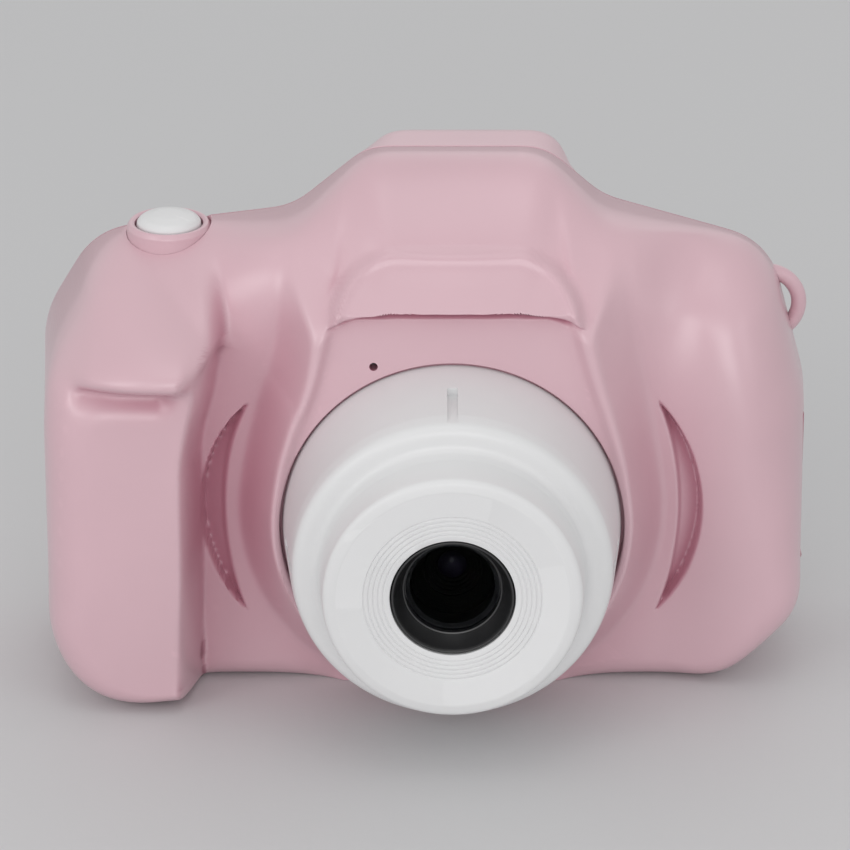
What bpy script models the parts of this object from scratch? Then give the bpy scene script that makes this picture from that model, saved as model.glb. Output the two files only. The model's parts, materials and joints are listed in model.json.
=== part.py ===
"""A children's digital camera: two pillowy moulded shells, a stepped lens barrel, a shutter button in a
collar, seven rear keys, a screen, a lanyard loop and a rubber port cover, with the electronics inside.

Case coordinates are in millimetres: +X is to the right of someone who faces the lens, +Z is up, and Y is
measured from the parting plane of the two shells, positive towards the screen. "Forward" is -Y.
"""

import math

import bmesh
import bpy
import numpy as np
from mathutils import Matrix, Vector

MM = 0.001
GAP = 0.15  # clearance between pieces that touch on the real camera

# Driving dimensions of the case
HALF_WIDTH = 41.0
HUMP_Z = 57.6
REAR_DEPTH = 9.0  # rear shell, from the parting plane to the flat back
WALL = 1.8
SEAM = 0.1  # half of the parting line's width
KEY_PROUD = 0.8  # how far the keys stand out of the back

# Lens
LENS_X, LENS_Z = 2.85, 20.9
LENS_TIP = 35.0  # forward reach of the lens barrel from the parting plane
SEAT = 15.2  # forward height of the flat seat that the barrel stands on
SEAT_R, HOLE_R = 18.3, 16.0

# The bounding box is centred on the world's origin, and the base stands at z = 0
PARTING_Y = (LENS_TIP - REAR_DEPTH - KEY_PROUD) / 2

# Corners of the case seen from the front, as x, z and fillet radius, anticlockwise from the lower left
CORNERS = (
    (-HALF_WIDTH, 0, 11.2),
    (32.2, 0, 8),
    (HALF_WIDTH, 8.1, 6),
    (HALF_WIDTH, 31.2, 14),
    (36.9, 46.8, 8),
    (19.0, 52.1, 7),
    (12.7, HUMP_Z, 6.0),
    (-6.2, HUMP_Z, 6.0),
    (-14.1, 50.9, 7),
    (-35.2, 48.2, 8),
    (-HALF_WIDTH, 38.5, 12),
)
OUTLINE_STEPS = 120
OUTLINE_SOFTNESS = 1.6  # mm of arc over which the outline's curvature is evened out

# Relief of the front face
BODY_H, HUMP_H, GRIP_H, PLATEAU_H = 11.6, 12.5, 20.0, 17.0
DRAFT, TOP_DRAFT, HUMP_DRAFT = 0.05, 0.10, 0.16  # lean of the walls, per mm of height
PAD_H, LEDGE_Z = 2.6, 37.6  # finger pad high on the grip
GRIP_EDGE, GRIP_FLANK = -22.5, 3.8
BOSS_R, BOSS_LEAN = 21.5, math.radians(8.5)
BROW_Z, BROW_TOP, BROW_HALF, BROW_SLANT = 45.7, 52.1, 14.0, math.radians(15)
CRESCENT_OUTER, CRESCENT_INNER, CRESCENT_HALF, CRESCENT_TIP = 27.1, 24.2, 12.8, 21.75
CRESCENT_DEPTH = 2.2

# Rear
SCREEN_X, SCREEN_Z = 9.5, 23.5
WINDOW = (43.0, 34.0, 1.2)
OPENING = (39.6, 30.4)
BOARD_BACK, BOARD_T = 1.6, 1.2
PAD_X, PAD_Z, PAD_R = -25.6, 20.5, 7.4
KEYS = {
    "up": (PAD_X, PAD_Z + PAD_R, 2.5),
    "down": (PAD_X, PAD_Z - PAD_R, 2.5),
    "left": (PAD_X + PAD_R, PAD_Z, 2.5),
    "right": (PAD_X - PAD_R, PAD_Z, 2.5),
    "ok": (PAD_X, PAD_Z, 3.0),
    "mode": (-20.4, 37.0, 2.2),
    "power": (-30.8, 37.0, 2.2),
}

# Shutter
SHUTTER_X, SHUTTER_Y = -27.3, -1.2
COLLAR_R, COLLAR_BORE, CAP_R = 4.5, 3.65, 3.5
COLLAR_TOP = 49.5

CASE_SCREWS = ((33.9, 36.2), (33.9, 12.6), (-16.4, 43.4), (-16.0, 5.6))
POST_R, PILOT_R, SHANK_R, HEAD_R = 2.7, 1.05, 0.9, 1.9
LOOP_X, LOOP_Z, LOOP_R, LOOP_BAR = 36.6, 39.7, 3.6, 0.82

# Port cover, in the +X side of the front shell
PORT_Y, PORT_Z = (-6.3, -1.0), (11.6, 29.4)
HINGE_X, HINGE_Z, BEAD_R = 40.4, 12.5, 0.5

LOOKS = {
    "pink": ((0.72, 0.42, 0.48), 0.42, 0.0),
    "white": ((0.83, 0.83, 0.82), 0.35, 0.0),
    "black": ((0.02, 0.02, 0.022), 0.3, 0.0),
    "glass": ((0.25, 0.27, 0.3), 0.05, 0.0),
    "board": ((0.03, 0.2, 0.09), 0.5, 0.0),
    "steel": ((0.6, 0.6, 0.62), 0.3, 1.0),
    "battery": ((0.55, 0.57, 0.6), 0.4, 0.3),
    "flex": ((0.5, 0.25, 0.06), 0.45, 0.0),
    "rubber": ((0.7, 0.4, 0.46), 0.7, 0.0),
}


def clear_scene():
    for obj in list(bpy.data.objects):
        bpy.data.objects.remove(obj)


clear_scene()
PARTS = bpy.data.collections.new("childrens_camera")
CUTTERS = bpy.data.collections.new("cutters")
bpy.context.scene.collection.children.link(PARTS)
bpy.context.scene.collection.children.link(CUTTERS)
CASE = bpy.data.objects.new("case_frame", None)
CASE.location = (0, PARTING_Y * MM, 0)
PARTS.objects.link(CASE)


# ---------------------------------------------------------------- objects, materials and modifiers


def look(name):
    """The material of that name, made once."""
    if name in bpy.data.materials:
        return bpy.data.materials[name]
    colour, roughness, metallic = LOOKS[name]
    made = bpy.data.materials.new(name)
    made.use_nodes = True
    shader = made.node_tree.nodes["Principled BSDF"]
    shader.inputs["Base Color"].default_value = (*colour, 1)
    shader.inputs["Roughness"].default_value = roughness
    shader.inputs["Metallic"].default_value = metallic
    return made


def add(name, data, material, at=(0, 0, 0), turn=(0, 0, 0)):
    """Links data as a named part, or as a hidden cutter when material is None."""
    obj = bpy.data.objects.new(name, data)
    obj.location = Vector(at) * MM
    obj.rotation_euler = turn
    obj.parent = CASE
    if material is None:
        CUTTERS.objects.link(obj)
        obj.hide_render = True
        obj.display_type = "WIRE"
    else:
        PARTS.objects.link(obj)
        data.materials.append(look(material))
    return obj


def finish_mesh(bm, name, sharp=35):
    mesh = bpy.data.meshes.new(name)
    bmesh.ops.recalc_face_normals(bm, faces=bm.faces)
    bm.to_mesh(mesh)
    bm.free()
    mesh.shade_smooth()
    mesh.set_sharp_from_angle(angle=math.radians(sharp))
    return mesh


def box(name, low, high, material=None, bevel=0.0):
    """A box between two corners."""
    size, centre = Vector(high) - Vector(low), (Vector(high) + Vector(low)) / 2
    bm = bmesh.new()
    bmesh.ops.create_cube(bm, size=MM)
    bmesh.ops.scale(bm, vec=size, verts=bm.verts)
    obj = add(name, finish_mesh(bm, name), material, centre)
    if bevel:
        soften(obj, bevel)
    return obj


def rod(name, at, length, radius, material=None, turn=(0, 0, 0), sides=16, tip=None):
    """A cylinder, or a cone where tip is its far radius, that starts at a point and runs along local +Z."""
    bm = bmesh.new()
    shift = Matrix.Translation((0, 0, length * MM / 2))
    far = radius if tip is None else tip
    bmesh.ops.create_cone(
        bm,
        cap_ends=True,
        segments=sides,
        radius1=radius * MM,
        radius2=far * MM,
        depth=length * MM,
        matrix=shift,
    )
    return add(name, finish_mesh(bm, name), material, at, turn)


def turned(name, profile, at, material=None, turn=(0, 0, 0), steps=32, closed=False):
    """A profile of (radius, height) points, listed down its outer side, spun about local Z."""
    mesh = bpy.data.meshes.new(name)
    points = [(r * MM, 0, h * MM) for r, h in profile]
    edges = [(i, i + 1) for i in range(len(points) - 1)]
    if closed:
        edges.append((len(points) - 1, 0))
    mesh.from_pydata(points, edges, [])
    obj = add(name, mesh, material, at, turn)
    spin = obj.modifiers.new("spin", "SCREW")
    spin.steps = spin.render_steps = steps
    spin.use_merge_vertices = True
    spin.merge_threshold = 1e-6
    spin.use_smooth_shade = True
    return obj


def flat_curve(name, points, thickness, material=None, at=(0, 0, 0), turn=(0, 0, 0)):
    """A flat outline of (x, y) points, filled and extruded to a thickness about its own plane."""
    curve = bpy.data.curves.new(name, "CURVE")
    curve.dimensions = "2D"
    curve.fill_mode = "BOTH"
    curve.extrude = thickness * MM / 2
    spline = curve.splines.new("POLY")
    spline.points.add(len(points) - 1)
    for point, (x, y) in zip(spline.points, points):
        point.co = (x * MM, y * MM, 0, 1)
    spline.use_cyclic_u = True
    obj = add(name, curve, None, at, turn)
    bpy.context.view_layer.update()
    graph = bpy.context.evaluated_depsgraph_get()
    mesh = bpy.data.meshes.new_from_object(obj.evaluated_get(graph))
    bpy.data.objects.remove(obj)
    bm = bmesh.new()
    bm.from_mesh(mesh)
    bmesh.ops.remove_doubles(bm, verts=bm.verts, dist=1e-6)
    return add(name, finish_mesh(bm, name), material, at, turn)


def bar(name, points, radius, material):
    """A round bar or wire along a list of points."""
    curve = bpy.data.curves.new(name, "CURVE")
    curve.dimensions = "3D"
    curve.bevel_depth = radius * MM
    curve.bevel_resolution = 2
    curve.use_fill_caps = True
    spline = curve.splines.new("POLY")
    spline.points.add(len(points) - 1)
    for point, co in zip(spline.points, points):
        point.co = (*(Vector(co) * MM), 1)
    return add(name, curve, material)


def soften(obj, width, segments=1):
    bevel = obj.modifiers.new("bevel", "BEVEL")
    bevel.width = width * MM
    bevel.segments = segments
    bevel.limit_method = "ANGLE"


def combine(obj, other, operation):
    step = obj.modifiers.new(other.name, "BOOLEAN")
    step.operation = operation
    step.object = other
    step.solver = "EXACT"


def cut(obj, *cutters):
    for cutter in cutters:
        combine(obj, cutter, "DIFFERENCE")


def join(obj, *others):
    for other in others:
        combine(obj, other, "UNION")


FORWARD = (math.pi / 2, 0, 0)  # turns local +Z to face the same way as the lens
BACKWARD = (-math.pi / 2, 0, 0)  # turns local +Z to face the user


# ---------------------------------------------------------------- the case's shape


def ease(t):
    """0 before 0, 1 after 1, and smooth between."""
    t = np.clip(t, 0, 1)
    return t * t * (3 - 2 * t)


def soft_max(a, b, k):
    return np.maximum(a, b) + np.maximum(k - np.abs(a - b), 0) ** 2 / (4 * k)


def soft_min(a, b, k):
    return -soft_max(-a, -b, k)


def even_out(values, reach):
    """A closed run of values averaged with their neighbours, reach samples each way."""
    weights = np.hanning(2 * reach + 3)[1:-1]
    shifted = [w * np.roll(values, k - reach, axis=0) for k, w in enumerate(weights)]
    return sum(shifted) / weights.sum()


def case_outline(count):
    """count points evenly spaced along the rounded outline, and their outward normals."""
    dense = []
    corners = [Vector(c[:2]) for c in CORNERS]
    for i, corner in enumerate(corners):
        before = (corners[i - 1] - corner).normalized()
        after = (corners[(i + 1) % len(corners)] - corner).normalized()
        half = before.angle(after) / 2
        radius = CORNERS[i][2]
        centre = corner + (before + after).normalized() * (radius / math.sin(half))
        start = corner + before * (radius / math.tan(half)) - centre
        end = corner + after * (radius / math.tan(half)) - centre
        sweep = start.angle_signed(end)
        dense += [centre + Matrix.Rotation(-sweep * k / 16, 2) @ start for k in range(17)]
    dense = np.array([tuple(p) for p in dense])
    start = int(np.argmin(np.abs(dense[:, 0] - LENS_X) + dense[:, 1]))
    dense = np.roll(dense, -start, axis=0)
    closed = np.vstack([dense, dense[:1]])
    length = np.concatenate([[0], np.cumsum(np.linalg.norm(np.diff(closed, axis=0), axis=1))])
    at = np.arange(8 * count) * length[-1] / (8 * count)
    fine = np.stack([np.interp(at, length, closed[:, k]) for k in range(2)], axis=1)
    fine = even_out(fine, max(1, round(OUTLINE_SOFTNESS / length[-1] * 8 * count)))
    tangent = np.roll(fine, -1, axis=0) - np.roll(fine, 1, axis=0)
    tangent /= np.linalg.norm(tangent, axis=1)[:, None]
    normal = np.stack([tangent[:, 1], -tangent[:, 0]], axis=1)
    return fine[::8], normal[::8]


def crescents(u, z, edge, spread=0.0):
    """Depth of the two sickle-shaped scallops that flank the lens. They deepen towards their outer edge."""
    half, tip = CRESCENT_HALF, CRESCENT_TIP
    r_out = (half**2 + (CRESCENT_OUTER - tip) ** 2) / (2 * (CRESCENT_OUTER - tip))
    r_in = (half**2 + (CRESCENT_INNER - tip) ** 2) / (2 * (CRESCENT_INNER - tip))
    outer = r_out - np.hypot(np.abs(u) - (CRESCENT_OUTER - r_out), z - LENS_Z)
    inner = np.hypot(np.abs(u) - (CRESCENT_INNER - r_in), z - LENS_Z) - r_in
    across = np.clip(inner / np.maximum(outer + inner, 0.1), 0, 1)
    inside = ease((outer + spread) / (1.6 * edge)) * ease((inner + spread) / edge)
    return inside * CRESCENT_DEPTH * (0.12 + 0.88 * across)


def rounded(a, b, radius):
    """Distance inside a corner between two edges, which is rounded to a radius."""
    return radius - np.hypot(np.maximum(radius - a, 0), np.maximum(radius - b, 0))


def relief(x, z, details=True, edge=0.7):
    """Forward height of the front face over the parting plane. details adds the brow, pad and crescents."""
    u = x - LENS_X
    above = z - LENS_Z
    # Body, whose right shoulder rounds back
    base = BODY_H + 1.9 * ease((x - 25) / 11)
    base = base - 0.018 * np.maximum(z - 31, 0) ** 2 * ease((x - 21) / 9)
    # Front of the hump, which leans back
    hump = HUMP_H - 0.30 * (z - 50) - 0.04 * np.maximum(np.abs(u) - 6, 0) ** 1.7
    base = base + (hump - base) * ease((z - 45) / 5) * (1 - ease((np.abs(u) - 11) / 9))
    # Grip
    grip = GRIP_H - 0.12 * np.maximum(z - 41, 0) ** 1.7
    tight = 1 - ease((z - 4) / 14)
    low = 1 - ease((z - 28) / 9)
    across = (GRIP_EDGE - 0.3 * tight - 1.2 * low - x) / (GRIP_FLANK - 0.3 * tight - 1.0 * low)
    bulge = np.sin(math.pi / 2 * np.clip(across, 0, 1))
    height = base + (grip - base) * (ease(across) * (1 - 0.8 * tight) + bulge * 0.8 * tight)
    # Boss round the lens: a circle below, and straight flanks that lean in above to two knuckles
    lean = np.arctan2(above, np.abs(u)) > BOSS_LEAN
    flank = np.abs(u) * math.cos(BOSS_LEAN) + above * math.sin(BOSS_LEAN)
    out = np.where(lean, flank, np.hypot(u, above)) - BOSS_R
    ramp = 2.4 + 1.8 * ease((z - 25) / 19)
    foot = 1.8
    rise = np.maximum(foot - out, 0) ** 1.6 * 6.4 / (ramp + foot) ** 1.6
    flanks = ease((np.abs(u) - 10) / 6)
    plateau = PLATEAU_H - 0.07 * above
    plateau = plateau + (base - plateau) * ease((z - 44.6 + 3.0 * flanks) / (3.0 + 5.0 * flanks))
    rim = 1.0 * np.exp(-((np.maximum(-out - ramp, 0) / 1.0) ** 2))
    boss = soft_min(base + rise, plateau + rim, 0.7)
    height = soft_max(height, boss, 0.5)
    if not details:
        return height
    # Finger pad high on the grip, over a ledge
    cushion = ease((x + 40.4) / 3.4) * ease((-25.6 - x) / 2.8) * ease((z - LEDGE_Z) / 3.0)
    height = height + PAD_H * cushion * (1 - ease((z - 41) / 6))
    across = ease((x + 39.4) / 2.6) * ease((-27.2 - x) / 2.6)
    under = z - LEDGE_Z - 0.1
    height = height - 1.3 * np.exp(-((under / np.where(under > 0, 0.9, 1.7)) ** 2)) * across
    # Brow over the lens: a visor with a rounded top edge and a crisp lip
    v = np.abs(u - 0.4)
    side = (BROW_HALF - v) * math.cos(BROW_SLANT) - (z - BROW_Z) * math.sin(BROW_SLANT)
    lip = BROW_Z - 2.2 * np.minimum(v / BROW_HALF, 1.1) ** 4
    upper = rounded(side, BROW_TOP - z, 6.2)
    inside = np.minimum(upper, rounded(side, z - lip + 0.6, 1.4))
    swell = ease(inside / (0.8 + 0.5 * ease((v - 7) / 4))) * ease((z - lip) / (edge + 0.15))
    crest = upper - 0.8
    bead = 0.85 * np.exp(-((crest / np.where(crest > 0, 0.75, 0.4)) ** 2))
    brow = 17.1 - 0.85 * np.maximum(z - BROW_Z, 0) - 0.007 * v**2 + bead
    height = height + np.maximum(brow - height, 0) * swell
    return height - crescents(u, z, edge + 0.35)


def steepness(x, z):
    """Length along Y of a unit of thickness: 1 where the face looks forward, and more on a steep flank."""
    step = 0.4
    across = relief(x + step, z, False) - relief(x - step, z, False)
    up = relief(x, z + step, False) - relief(x, z - step, False)
    return np.sqrt(1 + np.minimum((across**2 + up**2) / (2 * step) ** 2, 8))


def edge_of(outline, normal):
    """How the front face rolls over to the side all round: radius, exponent and height of the straight wall,
    the direction from each outline point to the lens axis, and how much the wall leans in."""
    to_axis = np.array([LENS_X, LENS_Z]) - outline
    reach = np.linalg.norm(to_axis, axis=1)
    inward = to_axis / reach[:, None]
    facing = np.maximum(-(inward * normal).sum(axis=1), 0.5)
    top, bottom = ease(normal[:, 1] / 0.9), ease(-normal[:, 1] / 0.9)
    side = 1 - top - bottom
    x = outline[:, 0]
    over_hump = 1 - ease((np.abs(x - LENS_X) - 7) / 11)
    top_radius = 7.0 + 3.5 * ease((-20 - x) / 9) + 1.0 * ease((x - 18) / 10) + 2.2 * over_hump
    side_radius = 5.2 + 3.0 * ease((x - 10) / 20) * ease((outline[:, 1] - 14) / 16)
    radius = side_radius * side + top_radius * top + 2.9 * bottom
    radius = np.minimum(radius, 0.8 * (reach - SEAT_R) * facing)
    power = 2.3 * side + (2.2 - 0.3 * over_hump) * top + 2.2 * bottom
    inner = outline + inward * (radius / facing)[:, None]
    wall = relief(inner[:, 0], inner[:, 1], False) - 1.15 * radius
    top_lean = TOP_DRAFT + (HUMP_DRAFT - TOP_DRAFT) * over_hump + 0.14 * ease((-18 - x) / 6)
    lean = DRAFT * side + top_lean * top
    smoothing = max(1, len(outline) // 28)
    radius, power, wall, lean = (even_out(v, smoothing) for v in (radius, power, wall, lean))
    return radius, power, np.maximum(wall, 0.9), inward, facing, lean / facing


def front_sections(count, edge_rings, face_rings, inner_rings, inner_edge):
    """Closed loops of points that run from the lens seat over the outside, round the rim and back inside."""
    outline, normal = case_outline(count)
    radius, power, wall, inward, facing, lean = edge_of(outline, normal)
    reach = np.linalg.norm(np.array([LENS_X, LENS_Z]) - outline, axis=1)

    def loop(distance, height):
        """Points that far from the outline along each ray to the lens axis, at that forward height."""
        share = np.clip(1 - distance / (reach - SEAT_R), 0, 1)
        at = outline + inward * (distance + lean * height * share)[:, None]
        return np.stack([at[:, 0], -height, at[:, 1]], axis=1)

    def face(distance, inset, share, details):
        """A loop on the face, or inside its wall. share runs from the wall's top, 0, to the face, 1."""
        at = outline + inward * distance[:, None]
        top = relief(at[:, 0], at[:, 1], details)
        if not details:
            top = top - inset * steepness(at[:, 0], at[:, 1])
            top = top - crescents(at[:, 0] - LENS_X, at[:, 1], 1.6, 1.6)
        low = np.minimum(wall, top - 0.2)
        return loop(distance, low + (top - low) * share)

    seat = np.full(count, SEAT)
    ones = np.ones(count)
    outside = [loop(reach - HOLE_R, seat), loop(reach - SEAT_R, seat)]
    for k in range(face_rings):
        share = k / face_rings
        distance = (reach - SEAT_R) * (1 - share) + radius / facing * share
        outside.append(face(distance, 0, ones, True))
    for k in range(edge_rings + 1):
        angle = math.pi / 2 * (1 - k / edge_rings)
        distance = radius / facing * (1 - max(math.cos(angle), 0) ** (2 / power))
        outside.append(face(distance, 0, math.sin(angle) ** (2 / power), True))
    outside.append(loop(0 * ones, SEAM * ones))
    step = WALL / facing
    inside = [loop(step, SEAM * ones)]
    inner_radius = np.maximum(radius - WALL, 1.0)
    for k in range(inner_edge + 1):
        angle = math.pi / 2 * k / inner_edge
        distance = step + inner_radius / facing * (1 - max(math.cos(angle), 0) ** (2 / power))
        inside.append(face(distance, WALL, math.sin(angle) ** (2 / power), False))
    for k in range(1, inner_rings + 1):
        share = k / (inner_rings + 1)
        distance = (step + inner_radius / facing) * (1 - share) + (reach - SEAT_R - 0.3) * share
        inside.append(face(distance, WALL, ones, False))
    inside.append(loop(reach - SEAT_R - 0.3, seat - WALL))
    inside.append(loop(reach - HOLE_R, seat - WALL))
    return outside + inside


def rounded_rectangle(toward, width, height, corner):
    """For each direction from the rectangle's centre, the point where it leaves the rounded rectangle."""
    low, high = np.zeros(len(toward)), np.full(len(toward), width + height)
    for _ in range(40):
        middle = (low + high) / 2
        at = np.abs(toward * middle[:, None]) - np.array([width / 2 - corner, height / 2 - corner])
        outside = np.hypot(*np.maximum(at, 0).T) > corner
        low, high = np.where(outside, low, middle), np.where(outside, middle, high)
    return toward * low[:, None]


def rear_sections(count, edge_rings):
    """Closed loops from the screen opening over the outside of the rear shell to its rim and back inside."""
    outline, normal = case_outline(count)
    roll, straight = 5.0, REAR_DEPTH - 5.0
    centre = np.array([SCREEN_X, SCREEN_Z])
    toward = outline - centre
    toward = toward / np.linalg.norm(toward, axis=1)[:, None]

    x = outline[:, 0]
    over_hump = ease((x + 9.5) / 4) * (1 - ease((x - 14) / 4))
    shoulder = even_out(ease(normal[:, 1] / 0.8) * (1 - over_hump), count // 60)

    def ring(inset, depth, wall=0.0):
        """The outline moved in by inset. The shoulders fall away from the rim, and the hump leans to +X."""
        fall = 5.8 * (1 - (1 - min(depth / REAR_DEPTH, 1)) ** 0.77)
        moved = wall + inset + (fall - inset) * shoulder
        at = outline - normal * moved[:, None]
        lean = (1.9 - ease((at[:, 0] - 2) / 6)) * ease((at[:, 1] - 51) / 5) * depth / REAR_DEPTH
        return np.stack([at[:, 0] + lean, np.full(count, depth), at[:, 1]], axis=1)

    def screen(width, height, corner, depth):
        at = centre + rounded_rectangle(toward, width, height, corner)
        return np.stack([at[:, 0], np.full(count, depth), at[:, 1]], axis=1)

    seat = REAR_DEPTH - WINDOW[2] - GAP
    sections = [
        screen(*OPENING, 1.0, seat),
        screen(WINDOW[0] + 0.4, WINDOW[1] + 0.4, 2.2, seat),
        screen(WINDOW[0] + 0.4, WINDOW[1] + 0.4, 2.2, REAR_DEPTH),
    ]
    for k in range(edge_rings + 1):
        angle = math.pi / 2 * k / edge_rings
        sections.append(ring(roll * (1 - math.sin(angle)), straight + roll * math.cos(angle)))
    sections += [ring(0, 2.0), ring(0, SEAM), ring(0, SEAM, WALL), ring(0, straight, WALL)]
    inner_roll = roll - WALL
    for k in (1, 2):
        angle = math.pi / 4 * k
        inset = inner_roll * (1 - math.cos(angle))
        sections.append(ring(inset, straight + inner_roll * math.sin(angle), WALL))
    sections.append(screen(*OPENING, 1.0, REAR_DEPTH - WALL))
    return sections


def loft(name, sections, material):
    """One closed solid through a ring of closed sections, which have the same number of points."""
    bm = bmesh.new()
    rows = [[bm.verts.new(Vector(p) * MM) for p in section] for section in sections]
    for k, row in enumerate(rows):
        after = rows[(k + 1) % len(rows)]
        for i in range(len(row)):
            j = (i + 1) % len(row)
            bm.faces.new((row[i], row[j], after[j], after[i]))
    return add(name, finish_mesh(bm, name, 40), material)


# ---------------------------------------------------------------- shells


def screw_posts(shell, forward):
    """Posts for the case screws: blind ones in the front shell, and through ones with a head well behind."""
    for k, (x, z) in enumerate(CASE_SCREWS):
        if forward:
            depth = float(relief(np.array([x]), np.array([z]), False)[0]) - 0.8
            post = rod(f"front_post_{k}", (x, -0.6, z), depth - 0.6, POST_R, turn=FORWARD)
            pilot = rod(f"front_pilot_{k}", (x, 1, z), 8.5, PILOT_R, turn=FORWARD, sides=12)
            join(shell, post)
            cut(shell, pilot)
        else:
            post = rod(f"rear_post_{k}", (x, -0.3, z), REAR_DEPTH - 1.0, POST_R, turn=BACKWARD)
            bore = rod(f"rear_bore_{k}", (x, -1, z), REAR_DEPTH, PILOT_R, turn=BACKWARD, sides=12)
            well = rod(f"rear_well_{k}", (x, 4.4, z), REAR_DEPTH, HEAD_R + 0.3, turn=BACKWARD)
            join(shell, post)
            cut(shell, bore, well)


def shutter_opening():
    return rod("shutter_opening", (SHUTTER_X, SHUTTER_Y, 41), 12, COLLAR_R + GAP, sides=24)


def loop_groove():
    """The half-round channels that the lanyard loop lies in, cut from both rims."""
    bpy.ops.mesh.primitive_torus_add(
        major_segments=40, minor_segments=10, major_radius=LOOP_R * MM, minor_radius=(LOOP_BAR + 0.12) * MM
    )
    ring = bpy.context.object
    mesh = ring.data
    bpy.data.objects.remove(ring)
    return add("loop_groove", mesh, None, (LOOP_X, 0, LOOP_Z), FORWARD)


def front_shell():
    shell = loft("front_shell", front_sections(OUTLINE_STEPS, 9, 11, 8, 4), "pink")
    screw_posts(shell, True)
    cut(shell, shutter_opening(), loop_groove())
    cut(shell, rod("mic_hole", (-5.4, -10, 38.8), 10, 0.5, turn=FORWARD, sides=10))
    recess_x = HALF_WIDTH - 1.25
    low, high = (recess_x, PORT_Y[0], PORT_Z[0]), (HALF_WIDTH + 2, PORT_Y[1], PORT_Z[1])
    cut(shell, box("port_recess", low, high))
    inner_x = HALF_WIDTH - 4
    cut(shell, box("usb_opening", (inner_x, -3.9, 15.6), (recess_x + 0.5, -1.4, 23.4)))
    cut(shell, box("card_opening", (inner_x, -3.0, 24.9), (recess_x + 0.5, -1.8, 28.4)))
    return shell


def rear_shell():
    shell = loft("rear_shell", rear_sections(72, 4), "pink")
    screw_posts(shell, False)
    cut(shell, bpy.data.objects["shutter_opening"], bpy.data.objects["loop_groove"])
    for name, (x, z, radius) in KEYS.items():
        cut(shell, rod(f"{name}_hole", (x, 5, z), 6, radius + GAP, turn=BACKWARD, sides=24))
    spots = [(0, 0)] + [(2.2 * math.cos(a), 2.2 * math.sin(a)) for a in np.arange(6) * math.pi / 3]
    for k, (dx, dz) in enumerate(spots):
        cut(shell, rod(f"sound_hole_{k}", (4.0 + dx, 5, 48.6 + dz), 6, 0.55, turn=BACKWARD, sides=8))
    return shell


# ---------------------------------------------------------------- lens


def lens():
    """The white barrel, the black bezel, the clear window, and the small camera module behind them."""
    axis = (LENS_X, 0, LENS_Z)
    steps = [(9.4 - 0.85 * k, LENS_TIP - 0.25 - 0.22 * k) for k in range(4)]
    grooves = [point for r, h in steps for point in ((r, h), (r - 0.12, h - 0.22))]
    outer = [
        *reversed(grooves),
        (12.6, LENS_TIP),
        (13.25, LENS_TIP - 0.2),
        (13.6, LENS_TIP - 0.9),
        (13.95, 29.0),
        (14.4, 28.7),
        (15.6, 28.7),
        (16.5, 28.2),
        (16.8, 27.2),
        (18.0, SEAT + 0.6),
        (18.0, SEAT + GAP),
        (15.8, SEAT + GAP),
        (15.8, 12.6),
        (14.2, 12.6),
        (14.2, 26.0),
        (11.8, 27.0),
        (11.8, 31.2),
        (6.5, 31.2),
    ]
    barrel = turned("lens_barrel", outer, axis, "white", FORWARD, 48, closed=True)
    for k in range(4):
        angle = math.pi / 2 * k
        at = (LENS_X + 17.6 * math.sin(angle), -21.2, LENS_Z + 17.6 * math.cos(angle))
        mark = rod(f"index_mark_{k}", at, 9, 0.75, turn=FORWARD, sides=8)
        cut(barrel, mark)
    bezel = [(6.3, 34.4), (6.3, 29.0), (4.4, 29.0), (4.4, 31.3), (5.0, 31.3), (5.0, 32.2), (6.0, 34.4)]
    turned("lens_bezel", bezel, axis, "black", FORWARD, 40, closed=True)
    window = [(0, 32.0), (4.85, 32.0), (4.85, 31.3 + GAP), (0, 31.3 + GAP)]
    turned("lens_window", window, axis, "glass", FORWARD, 32)
    glass = [(0, 27.2), (1.1, 26.9), (1.6, 26.4), (1.6, 25.9), (0, 25.9)]
    turned("module_glass", glass, axis, "glass", FORWARD, 20)
    barrel_in = [(3.0, 27.4), (3.0, 24.2), (1.75, 24.2), (1.75, 26.5), (2.3, 27.4)]
    turned("module_barrel", barrel_in, axis, "black", FORWARD, 24, closed=True)
    half = 4.25
    low, high = (LENS_X - half, -24.0, LENS_Z - half), (LENS_X + half, -21.0, LENS_Z + half)
    box("module_housing", low, high, "black", 0.3)
    low, high = (LENS_X - 6, -20.8, LENS_Z - 6), (LENS_X + 6, -20.0, LENS_Z + 6)
    box("sensor_board", low, high, "board")
    back, top, t = -9.2, 40.2, 0.15
    strip = [
        (-19.8, LENS_Z),
        (-19.8, LENS_Z - 2),
        (-19.8 + t, LENS_Z - 2),
        (back, LENS_Z + 4 - t),
        (back, top - t),
        (-0.3, top - t),
        (-0.3, 37.5),
        (-0.15, 37.5),
        (-0.15, top),
        (back - t, top),
        (back - t, LENS_Z + 4),
        (-19.8 + t, LENS_Z),
    ]
    flat_curve("sensor_ribbon", strip, 8.0, "flex", (LENS_X, 0, 0), (math.pi / 2, 0, math.pi / 2))


# ---------------------------------------------------------------- electronics


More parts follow.
